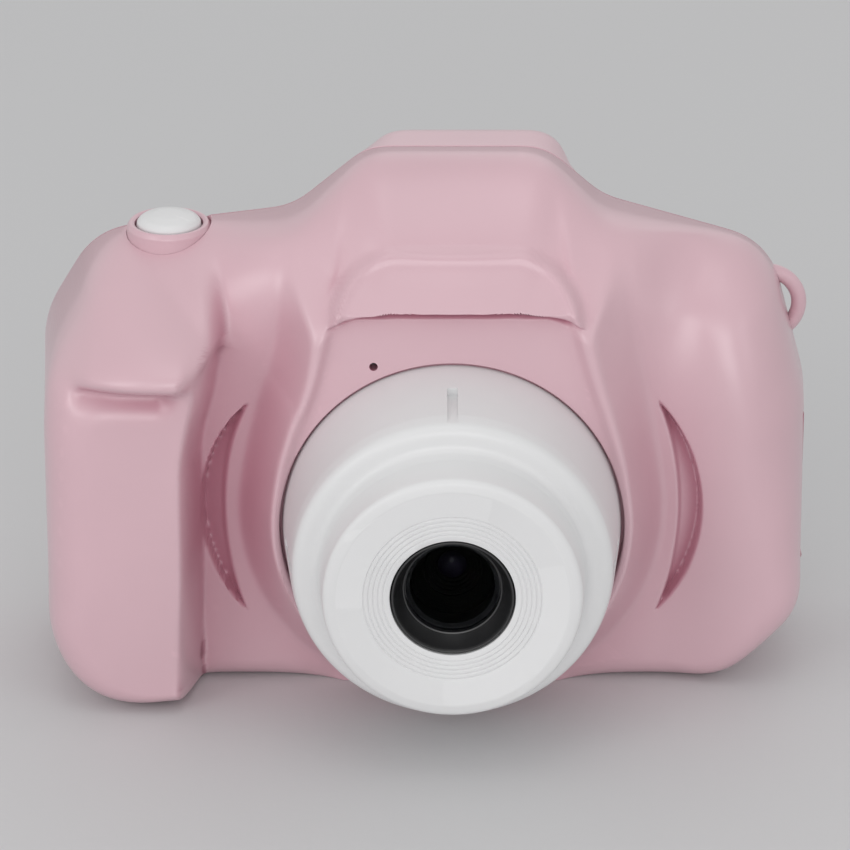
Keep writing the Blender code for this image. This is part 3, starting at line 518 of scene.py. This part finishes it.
def tube(name, path, radius, steps, closed=False):
    """A round bar along a path of points, with rounded ends when it is open."""
    path = [Vector(p) for p in path]
    points = []
    spine = [(i, 1.0) for i in range(len(path))]
    last = len(path) - 1
    cap = (0.0, 0.5, 0.85)
    if not closed:
        spine = [*((0, size) for size in cap), *spine, *((last, size) for size in reversed(cap))]
    side = None
    for i, size in spine:
        ahead = path[(i + 1) % len(path)] if closed else path[min(i + 1, last)]
        behind = path[i - 1] if closed else path[max(i - 1, 0)]
        along = (ahead - behind).normalized()
        side = along.orthogonal() if side is None else side - along * side.dot(along)
        side.normalize()
        other = along.cross(side)
        shift = 0.0
        if size < 1.0:
            shift = math.sqrt(1 - size**2) * radius * (-1 if i == 0 else 1)
        for k in range(steps):
            angle = 2 * math.pi * k / steps
            offset = (side * math.cos(angle) + other * math.sin(angle)) * radius * max(size, 0.02)
            points.append(tuple(path[i] + along * shift + offset))
    rows = len(points) // steps
    faces = grid_faces(rows, steps, closed)
    if not closed:
        faces.append(tuple(range(steps)))
        faces.append(tuple((rows - 1) * steps + k for k in range(steps))[::-1])
    return mesh_from(name, points, faces)


def block(name, low, high):
    x, y, z = zip(low, high)
    points = [(x[i], y[j], z[k]) for i in (0, 1) for j in (0, 1) for k in (0, 1)]
    faces = [(0, 1, 3, 2), (4, 6, 7, 5), (0, 4, 5, 1), (2, 3, 7, 6), (0, 2, 6, 4), (1, 5, 7, 3)]
    return mesh_from(name, points, faces)


def outward(mesh):
    """Turns a closed mesh's faces so that they all point out."""
    bm = bmesh.new()
    bm.from_mesh(mesh)
    bmesh.ops.recalc_face_normals(bm, faces=bm.faces)
    bm.to_mesh(mesh)
    bm.free()


def carve(mesh, cutters):
    """The mesh with each cutter's volume taken away."""
    outward(mesh)
    work = bpy.data.objects.new("carved", mesh)
    bpy.context.scene.collection.objects.link(work)
    tools = []
    for k, cutter in enumerate(cutters):
        outward(cutter)
        tool = bpy.data.objects.new(f"cutter_{k}", cutter)
        bpy.context.scene.collection.objects.link(tool)
        tools.append(tool)
        step = work.modifiers.new(f"cut_{k}", "BOOLEAN")
        step.operation = "DIFFERENCE"
        step.object = tool
        step.solver = "MANIFOLD"
    bpy.context.view_layer.update()
    graph = bpy.context.evaluated_depsgraph_get()
    result = bpy.data.meshes.new_from_object(work.evaluated_get(graph))
    for obj in [work, *tools]:
        bpy.data.objects.remove(obj)
    return result


def rod_mesh(name, start, turn, length, radius, steps):
    """A plain rod that runs from start along the local +Z of a turn."""
    return lathe(name, [(0, 0), (radius, 0), (radius, length), (0, length)], start, turn, steps)


# ---------------------------------------------------------------- materials


class Surface:
    """A Principled material with a few helpers for procedural detail. Lengths are in metres."""

    def __init__(self, name, colour, roughness, **constants):
        self.material = bpy.data.materials.new(name)
        self.material.use_nodes = True
        self.nodes = self.material.node_tree.nodes
        self.links = self.material.node_tree.links
        self.shader = self.nodes["Principled BSDF"]
        self.shader.inputs["Base Color"].default_value = (*colour, 1)
        self.shader.inputs["Roughness"].default_value = roughness
        for key, value in constants.items():
            self.shader.inputs[key.replace("_", " ")].default_value = value
        self.where = self.nodes.new("ShaderNodeTexCoord").outputs["Object"]

    def noise(self, size, detail=3.0, rough=0.5):
        """Noise whose lumps are about size metres across."""
        node = self.nodes.new("ShaderNodeTexNoise")
        node.inputs["Scale"].default_value = 1 / size
        node.inputs["Detail"].default_value = detail
        node.inputs["Roughness"].default_value = rough
        self.links.new(self.where, node.inputs["Vector"])
        return node.outputs["Fac"]

    def remap(self, value, low, high, to_low, to_high):
        node = self.nodes.new("ShaderNodeMapRange")
        node.inputs["From Min"].default_value = low
        node.inputs["From Max"].default_value = high
        node.inputs["To Min"].default_value = to_low
        node.inputs["To Max"].default_value = to_high
        self.links.new(value, node.inputs["Value"])
        return node.outputs["Result"]

    def mix(self, amount, a, b):
        node = self.nodes.new("ShaderNodeMix")
        node.data_type = "RGBA"
        for socket, value in ((node.inputs[6], a), (node.inputs[7], b)):
            if isinstance(value, tuple):
                socket.default_value = (*value, 1)
            else:
                self.links.new(value, socket)
        self.links.new(amount, node.inputs[0])
        return node.outputs[2]

    def math(self, kind, a, b):
        node = self.nodes.new("ShaderNodeMath")
        node.operation = kind
        for socket, value in zip(node.inputs, (a, b)):
            if isinstance(value, (int, float)):
                socket.default_value = value
            else:
                self.links.new(value, socket)
        return node.outputs[0]

    def bump(self, height, distance):
        node = self.nodes.new("ShaderNodeBump")
        node.inputs["Distance"].default_value = distance
        node.inputs["Strength"].default_value = 1.0
        self.links.new(height, node.inputs["Height"])
        self.links.new(node.outputs["Normal"], self.shader.inputs["Normal"])

    def set(self, socket, value):
        self.links.new(value, self.shader.inputs[socket])


def shift(colour, factor):
    return tuple(min(c * factor, 1) for c in colour)


def moulded(name, colour, roughness, grain=0.00035, grain_depth=0.000004, edge_wear_and_highlight=1.06, hollow_shade=None,
            **constants):
    """Moulded plastic: a fine spark-eroded grain, soft cloudiness in the colour, convex edges lightened
    (partly wear, partly a painted highlight), and painted shade: a darker, fuller tint in the hollows."""
    made = Surface(name, colour, roughness, **constants)
    cloud = made.noise(0.022, 3)
    tint = made.mix(made.remap(cloud, 0.3, 0.7, 0, 1), shift(colour, 0.965), shift(colour, 1.03))
    # Convex edges painted lighter: partly worn edges, partly a painted highlight along them.
    edge = made.nodes.new("ShaderNodeNewGeometry").outputs["Pointiness"]
    tint = made.mix(made.remap(edge, 0.52, 0.62, 0, 0.6), tint, shift(colour, edge_wear_and_highlight))
    # Painted shade: hollows found by ambient occlusion are painted a darker, fuller pink.
    if hollow_shade:
        open_sky = made.nodes.new("ShaderNodeAmbientOcclusion")
        open_sky.samples = 12
        open_sky.only_local = True
        open_sky.inputs["Distance"].default_value = 0.010
        tint = made.mix(made.remap(open_sky.outputs["AO"], 0.38, 0.98, 1, 0), tint, hollow_shade)
    made.set("Base Color", tint)
    patch = made.noise(0.009, 4, 0.6)
    made.set("Roughness", made.remap(patch, 0.3, 0.7, roughness - 0.035, roughness + 0.04))
    fine = made.noise(grain, 2, 0.6)
    broad = made.noise(0.006, 2)
    made.bump(made.math("ADD", fine, made.math("MULTIPLY", broad, 1.5)), grain_depth)
    return made.material


def smoked_window():
    made = Surface("smoked_window", (0.40, 0.41, 0.43), 0.03, Transmission_Weight=1.0, IOR=1.06)
    made.set("Roughness", made.remap(made.noise(0.004, 3), 0.35, 0.7, 0.015, 0.05))
    return made.material


def coated_glass():
    made = Surface("coated_glass", (0.02, 0.022, 0.03), 0.05, Coat_Weight=0.12, Specular_IOR_Level=0.2)
    made.set("Base Color", made.mix(made.noise(0.004, 2), (0.012, 0.012, 0.03), (0.03, 0.02, 0.045)))
    return made.material


def screen_glass():
    made = Surface("screen_glass", (0.012, 0.013, 0.016), 0.09, Coat_Weight=0.8, Coat_Roughness=0.04)
    made.set("Roughness", made.remap(made.noise(0.012, 5, 0.65), 0.35, 0.7, 0.05, 0.16))
    return made.material


def steel():
    made = Surface("steel", (0.55, 0.55, 0.57), 0.32, Metallic=1.0)
    made.set("Roughness", made.remap(made.noise(0.0012, 4, 0.6), 0.3, 0.7, 0.22, 0.42))
    made.bump(made.noise(0.0003, 2), 0.000004)
    return made.material


def solder_mask():
    made = Surface("solder_mask", (0.015, 0.14, 0.06), 0.35)
    made.set("Base Color", made.mix(made.noise(0.003, 5, 0.7), (0.01, 0.10, 0.04), (0.03, 0.2, 0.09)))
    made.bump(made.noise(0.0006, 3), 0.00001)
    return made.material


def pouch_foil():
    made = Surface("pouch_foil", (0.5, 0.52, 0.56), 0.38, Metallic=0.7)
    made.set("Roughness", made.remap(made.noise(0.005, 4), 0.3, 0.7, 0.28, 0.5))
    made.bump(made.noise(0.004, 3), 0.00012)
    return made.material


def amber_film():
    made = Surface("amber_film", (0.42, 0.19, 0.035), 0.3)
    made.set("Base Color", made.mix(made.noise(0.002, 3), (0.34, 0.14, 0.02), (0.5, 0.24, 0.05)))
    return made.material


def pale_floor():
    made = Surface("pale_floor", (0.64, 0.64, 0.65), 0.6)
    made.set("Base Color", made.mix(made.noise(0.35, 4), (0.625, 0.625, 0.635), (0.655, 0.655, 0.66)))
    made.bump(made.noise(0.0012, 3), 0.00002)
    return made.material


MATERIALS = {
    # Painted shade in the pink's hollows; convex edges lightened by wear and a painted highlight.
    "pink": moulded("moulded_pink", (0.70, 0.46, 0.515), 0.42, hollow_shade=(0.53, 0.23, 0.30),
                    Coat_Weight=1.0, Coat_Roughness=0.32),
    "white": moulded("moulded_white", (0.785, 0.785, 0.79), 0.38, Coat_Weight=0.1, Coat_Roughness=0.3),
    "black": moulded("moulded_black", (0.006, 0.006, 0.0065), 0.42, edge_wear_and_highlight=1.6, Specular_IOR_Level=0.1),
    "gloss": moulded("satin_black", (0.012, 0.012, 0.013), 0.34, edge_wear_and_highlight=1.6, Specular_IOR_Level=0.8),
    "flock": moulded("matte_black", (0.003, 0.003, 0.0032), 0.75, edge_wear_and_highlight=1.3, Specular_IOR_Level=0.1),
    "rubber": moulded("soft_rubber", (0.56, 0.28, 0.335), 0.62, grain=0.0005, grain_depth=0.00001),
    "glass": smoked_window(),
    "coated": coated_glass(),
    "screen": screen_glass(),
    "steel": steel(),
    "board": solder_mask(),
    "battery": pouch_foil(),
    "flex": amber_film(),
    "floor": pale_floor(),
}


# ---------------------------------------------------------------- shells


def torus_mesh(name, centre, major, minor):
    """A ring in the XZ plane, at y = 0."""
    x, z = centre
    steps = 96
    turns = 2 * math.pi * np.arange(steps) / steps
    path = [(x + major * math.cos(a), 0, z + major * math.sin(a)) for a in turns]
    return tube(name, path, minor, 20, closed=True)


def shutter_hole():
    return rod_mesh("shutter_hole", (SHUTTER_X, SHUTTER_Y, 41), Matrix(), 12, COLLAR_R + 0.05, 96)


def loop_hole():
    return torus_mesh("loop_hole", (LOOP_X, LOOP_Z), LOOP_R, LOOP_BAR + 0.12)


def front_shell():
    sections = front_sections(FRONT_STEPS, FRONT_EDGE, FRONT_RINGS, FRONT_INNER_RINGS, FRONT_INNER_EDGE)
    faces = grid_faces(len(sections), FRONT_STEPS, True)
    shell = mesh_from("front_shell", np.concatenate(sections), faces)
    recess = HALF_WIDTH - PORT_DEPTH
    cutters = [
        shutter_hole(),
        loop_hole(),
        rod_mesh("mic", (-5.4, -10, 38.8), FORWARD, 10, 0.45, 24),
        block("port", (recess, PORT_Y[0], PORT_Z[0]), (HALF_WIDTH + 2, PORT_Y[1], PORT_Z[1])),
        block("usb", (HALF_WIDTH - 4, -3.9, 15.6), (recess + 0.5, -1.4, 23.4)),
        block("card", (HALF_WIDTH - 4, -3.0, 24.9), (recess + 0.5, -1.8, 28.4)),
    ]
    shell = carve(shell, cutters)
    piece("case_front", shell, "pink", "case", ["front_shell"], 65)


def rear_shell():
    sections = rear_sections(REAR_STEPS, REAR_EDGE)
    faces = grid_faces(len(sections), REAR_STEPS, True)
    shell = mesh_from("rear_shell", np.concatenate(sections), faces)
    cutters = [shutter_hole(), loop_hole()]
    for x, z in CASE_SCREWS:
        cutters.append(rod_mesh("well", (x, 4.4, z), BACKWARD, REAR_DEPTH, HEAD_R + 0.3, 40))
    for x, z, radius in KEYS.values():
        cutters.append(rod_mesh("key", (x, 5, z), BACKWARD, 6, radius + GAP, 64))
    speaker_x, speaker_z, ring_r = 4.0, 48.6, 2.2
    spots = [(0, 0)] + [(ring_r * math.cos(a), ring_r * math.sin(a)) for a in np.arange(6) * math.pi / 3]
    for dx, dz in spots:
        cutters.append(rod_mesh("sound", (speaker_x + dx, 5, speaker_z + dz), BACKWARD, 6, 0.55, 24))
    shell = carve(shell, cutters)
    piece("case_rear", shell, "pink", "case", ["rear_shell"])


# ---------------------------------------------------------------- lens


def turned(name, profile, steps, corner_steps, material, replaces):
    """A visible piece spun about the lens axis."""
    mesh = lathe(name, fillet(profile, corner_steps), (LENS_X, 0, LENS_Z), FORWARD, steps)
    piece(name, mesh, material, "case", replaces, 35)


def barrel():
    """The white barrel: a ringed lip at the front, a shoulder, and four index marks round the flare."""
    grooves = []
    half, depth = 0.13, 0.15
    for k in range(5):
        r = 7.2 + 0.5 * k
        face = LENS_TIP - 0.36 + 0.012 * k
        grooves += [(r - half, face, 0.02), (r, face - depth, 0.04), (r + half, face, 0.02)]
    outer = [
        (6.5, LENS_TIP - 0.45, 0.15),
        *grooves,
        (9.6, LENS_TIP - 0.28, 0.2),
        (12.2, LENS_TIP, 1.0),
        (13.45, LENS_TIP - 0.25, 0.9),
        (13.75, 30.3, 1.0),
        (14.1, 28.75, 1.0),
        (16.6, 28.6, 1.5),
        (17.0, 26.2, 0.8),
        (18.0, SEAT + 0.7, 0.3),
        (18.0, SEAT + GAP, 0.1),
        (15.8, SEAT + GAP, 0.1),
        (15.8, 12.6, 0),
        (14.2, 12.6, 0),
        (14.2, 26.0, 0),
        (11.8, 27.0, 0),
        (11.8, 31.2, 0),
        (6.5, 31.2, 0.1),
    ]
    mesh = lathe("barrel", fillet(outer), (LENS_X, 0, LENS_Z), FORWARD, 192)
    marks = []
    about = Matrix.Translation((LENS_X * MM, 0, LENS_Z * MM))
    for k in range(4):
        mark = block("mark", (LENS_X - 0.55, -29.5, LENS_Z + 16.75), (LENS_X + 0.55, -20.5, LENS_Z + 19.0))
        mark.transform(about @ Matrix.Rotation(math.pi / 2 * k, 4, "Y") @ about.inverted())
        marks.append(mark)
    piece("barrel", carve(mesh, marks), "white", "case", ["lens_barrel"], 35)


def lens_centre():
    """What the barrel holds, from the front to the back."""
    bezel = [
        (6.35, 34.45, 0.12),
        (6.35, 29.0, 0.1),
        (4.4, 29.0, 0.05),
        (4.4, 31.3, 0.05),
        (5.0, 31.3, 0.05),
        (5.0, 32.2, 0.06),
        (5.15, 32.25, 0.05),
        (6.0, 34.2, 0.15),
        (6.15, 34.45, 0.08),
    ]
    turned("bezel", bezel, 128, 4, "gloss", ["lens_bezel"])
    window = [(0, 32.0, 0), (4.85, 32.0, 0.08), (4.85, 31.45, 0.05), (0, 31.45, 0)]
    turned("window", window, 96, 3, "glass", ["lens_window"])
    baffle = [(6.4, 27.9, 0.1), (6.4, 27.1, 0.1), (3.1, 27.1, 0.05), (3.1, 27.5, 0.05), (4.2, 27.9, 0.1)]
    turned("baffle", baffle, 96, 3, "flock", ())
    steps = [(3.0, 27.4, 0.1), (3.0, 24.2, 0.05), (1.75, 24.2, 0.05), (1.75, 26.2, 0.05)]
    steps += [(2.0, 26.2, 0.05), (2.0, 26.6, 0.05), (2.3, 26.6, 0.05), (2.3, 27.0, 0.05)]
    steps += [(2.6, 27.0, 0.05), (2.6, 27.4, 0.1)]
    turned("module_ring", steps, 96, 3, "flock", ["module_barrel"])
    dome = [(1.6 * math.sin(a), 26.3 + 0.9 * math.cos(a)) for a in np.linspace(0, math.pi / 2, 10)]
    dome = [(0, dome[0][1]), *dome[1:], (1.6, 25.9), (0, 25.9)]
    mesh = lathe("front_element", dome, (LENS_X, 0, LENS_Z), FORWARD, 64)
    piece("front_element", mesh, "coated", "case", ["module_glass"], 50)


# ---------------------------------------------------------------- fittings


def shutter():
    axis = (SHUTTER_X, SHUTTER_Y, 0)
    bottom = 44.6
    ring = [
        (COLLAR_BORE, COLLAR_TOP - 0.15, 0.1),
        (COLLAR_BORE + 0.3, COLLAR_TOP, 0.25),
        (COLLAR_R - 0.3, COLLAR_TOP, 0.25),
        (COLLAR_R, COLLAR_TOP - 0.5, 0.4),
        (COLLAR_R, bottom, 0.1),
        (COLLAR_BORE, bottom, 0.1),
    ]
    mesh = lathe("collar", fillet(ring), axis, Matrix(), 128)
    piece("collar", mesh, "pink", "case", ["shutter_collar"])
    cap = [
        (0, COLLAR_TOP + 0.95, 0),
        (1.6, COLLAR_TOP + 0.86, 1.5),
        (2.9, COLLAR_TOP + 0.55, 1.5),
        (CAP_R - 0.1, COLLAR_TOP + 0.05, 0.5),
        (CAP_R, COLLAR_TOP - 0.6, 0.3),
        (CAP_R, bottom - 0.3, 0),
        (CAP_R + 0.55, bottom - 0.3, 0.05),
        (CAP_R + 0.55, bottom - 0.7, 0.05),
        (0, bottom - 0.7, 0),
    ]
    mesh = lathe("release", fillet(cap), axis, Matrix(), 128)
    piece("release", mesh, "white", "shutter", ["shutter_button"])


def symbol(name, x, z, radius):
    """Cutters for the sign sunk into a key: an arrowhead, a ring, three bars, or a ring with a stroke."""
    face = REAR_DEPTH + KEY_PROUD
    reach = 0.46 * radius
    floor, clear = face - 0.45, face + 1
    turns = {"up": -90, "down": 90, "left": 0, "right": 180}
    if name in turns:
        wedge = rod_mesh("arrow", (x, face - 0.5, z), BACKWARD, 1.5, reach, 3)
        about = Matrix.Translation((x * MM, 0, z * MM))
        turn = Matrix.Rotation(math.radians(turns[name]), 4, "Y")
        wedge.transform(about @ turn @ about.inverted())
        return [wedge]
    if name == "mode":
        half = 0.14
        rows = [z + dz for dz in (-0.5, 0, 0.5)]
        return [block("bar", (x - reach, floor, at - half), (x + reach, clear, at + half)) for at in rows]
    ring = torus_mesh("ring", (x, z), reach, 0.24)
    ring.transform(Matrix.Translation((0, (face - 0.14) * MM, 0)))
    if name == "ok":
        return [ring]
    return [ring, block("stroke", (x - 0.16, floor, z), (x + 0.16, clear, z + reach + 0.4))]


def keys():
    inner = REAR_DEPTH - WALL - 0.25
    proud = REAR_DEPTH + KEY_PROUD
    for name, (x, z, radius) in KEYS.items():
        profile = [
            (0, proud - 0.12, 0),
            (radius * 0.55, proud - 0.1, 0.8),
            (radius - 0.3, proud, 0.35),
            (radius, proud - 0.4, 0.25),
            (radius, inner, 0),
            (radius + 0.55, inner, 0.05),
            (radius + 0.55, inner - 0.5, 0.05),
            (0, inner - 0.5, 0),
        ]
        cap = lathe(f"{name}_cap", fillet(profile), (x, 0, z), BACKWARD, 72)
        cap = carve(cap, symbol(name, x, z, radius))
        piece(f"{name}_cap", cap, "white", f"{name}_key", [f"{name}_button"])


def wrist_loop():
    angles = np.radians(np.linspace(-62, 112, 90))
    path = [(LOOP_X + LOOP_R * math.cos(a), 0, LOOP_Z + LOOP_R * math.sin(a)) for a in angles]
    mesh = tube("wrist_loop", path, LOOP_BAR, 28)
    piece("wrist_loop", mesh, "pink", "case", ["lanyard_loop"])


def display():
    half_w, half_h = WINDOW[0] / 2, WINDOW[1] / 2
    count = 160
    angles = 2 * math.pi * np.arange(count) / count
    toward = np.stack([np.cos(angles), np.sin(angles)], axis=1)
    rows = []
    back, front = REAR_DEPTH - WINDOW[2] - 0.05, REAR_DEPTH - 0.05
    for inset, depth in ((0, back), (0, front - 0.15), (0.05, front - 0.05), (0.15, front)):
        corner = WINDOW_CORNER - inset
        at = rounded_rectangle(toward, 2 * (half_w - inset), 2 * (half_h - inset), corner)
        rows.append(np.stack([SCREEN_X + at[:, 0], np.full(count, depth), SCREEN_Z + at[:, 1]], axis=1))
    faces = grid_faces(len(rows), count, False)
    faces.append(tuple(range(count)))
    faces.append(tuple((len(rows) - 1) * count + k for k in range(count))[::-1])
    mesh = mesh_from("display", np.concatenate(rows), faces)
    outward(mesh)
    piece("display", mesh, "screen", "case", ["screen_window"])


def dress_nodes():
    """Materials for the CAD nodes that stay."""
    slots = {entry["node"]: entry["material_slot"] for entry in frame["record"]["subparts"]}
    for name, node in frame["nodes"].items():
        material = MATERIALS[slots[name]]
        node.data.materials.clear()
        node.data.materials.append(material)


# ---------------------------------------------------------------- stage


def viewpoint():
    data = bpy.data.cameras.new("camera")
    data.lens = CAMERA_LENS
    data.sensor_width = 36.0
    data.clip_start = 0.01
    obj = bpy.data.objects.new("camera", data)
    ahead = Vector((0, math.cos(CAMERA_TILT), -math.sin(CAMERA_TILT)))
    obj.location = Vector(CAMERA_TARGET) - ahead * CAMERA_DISTANCE
    obj.rotation_euler = ahead.to_track_quat("-Z", "Y").to_euler()
    bpy.context.scene.collection.objects.link(obj)
    bpy.context.scene.camera = obj


def softbox(name, at, size, power):
    """A square area light that faces the object."""
    data = bpy.data.lights.new(name, "AREA")
    data.energy = power
    data.size = size
    obj = bpy.data.objects.new(name, data)
    obj.location = at
    aim = Vector(LIGHTS_AIM) - Vector(at)
    obj.rotation_euler = aim.to_track_quat("-Z", "Y").to_euler()
    bpy.context.scene.collection.objects.link(obj)


def studio():
    world = bpy.data.worlds.new("studio")
    bpy.context.scene.world = world
    world.use_nodes = True
    sky = world.node_tree.nodes["Background"]
    sky.inputs["Color"].default_value = (1.0, 1.0, 1.0, 1)
    sky.inputs["Strength"].default_value = SKY_STRENGTH
    softbox("top", (0.0, -0.08, 0.50), 0.26, 0.15)
    softbox("front", (0.0, -0.68, 0.26), 0.34, 0.9)
    softbox("front_left", (-0.42, -0.40, 0.30), 0.25, 0.5)
    softbox("front_right", (0.42, -0.40, 0.30), 0.25, 0.15)
    softbox("behind", (0.1, 0.5, 0.4), 0.4, 0.15)
    bpy.context.scene.view_settings.view_transform = "Standard"
    mesh = bpy.data.meshes.new("floor")
    half = FLOOR_HALF
    corners = [(-half, -half, 0), (half, -half, 0), (half, half, 0), (-half, half, 0)]
    mesh.from_pydata(corners, [], [(0, 1, 2, 3)])
    mesh.materials.append(MATERIALS["floor"])
    floor = bpy.data.objects.new("floor", mesh)
    floor.location.z = -FLOOR_DROP
    bpy.context.scene.collection.objects.link(floor)


dress_nodes()
front_shell()
rear_shell()
barrel()
lens_centre()
shutter()
keys()
wrist_loop()
display()
viewpoint()
studio()
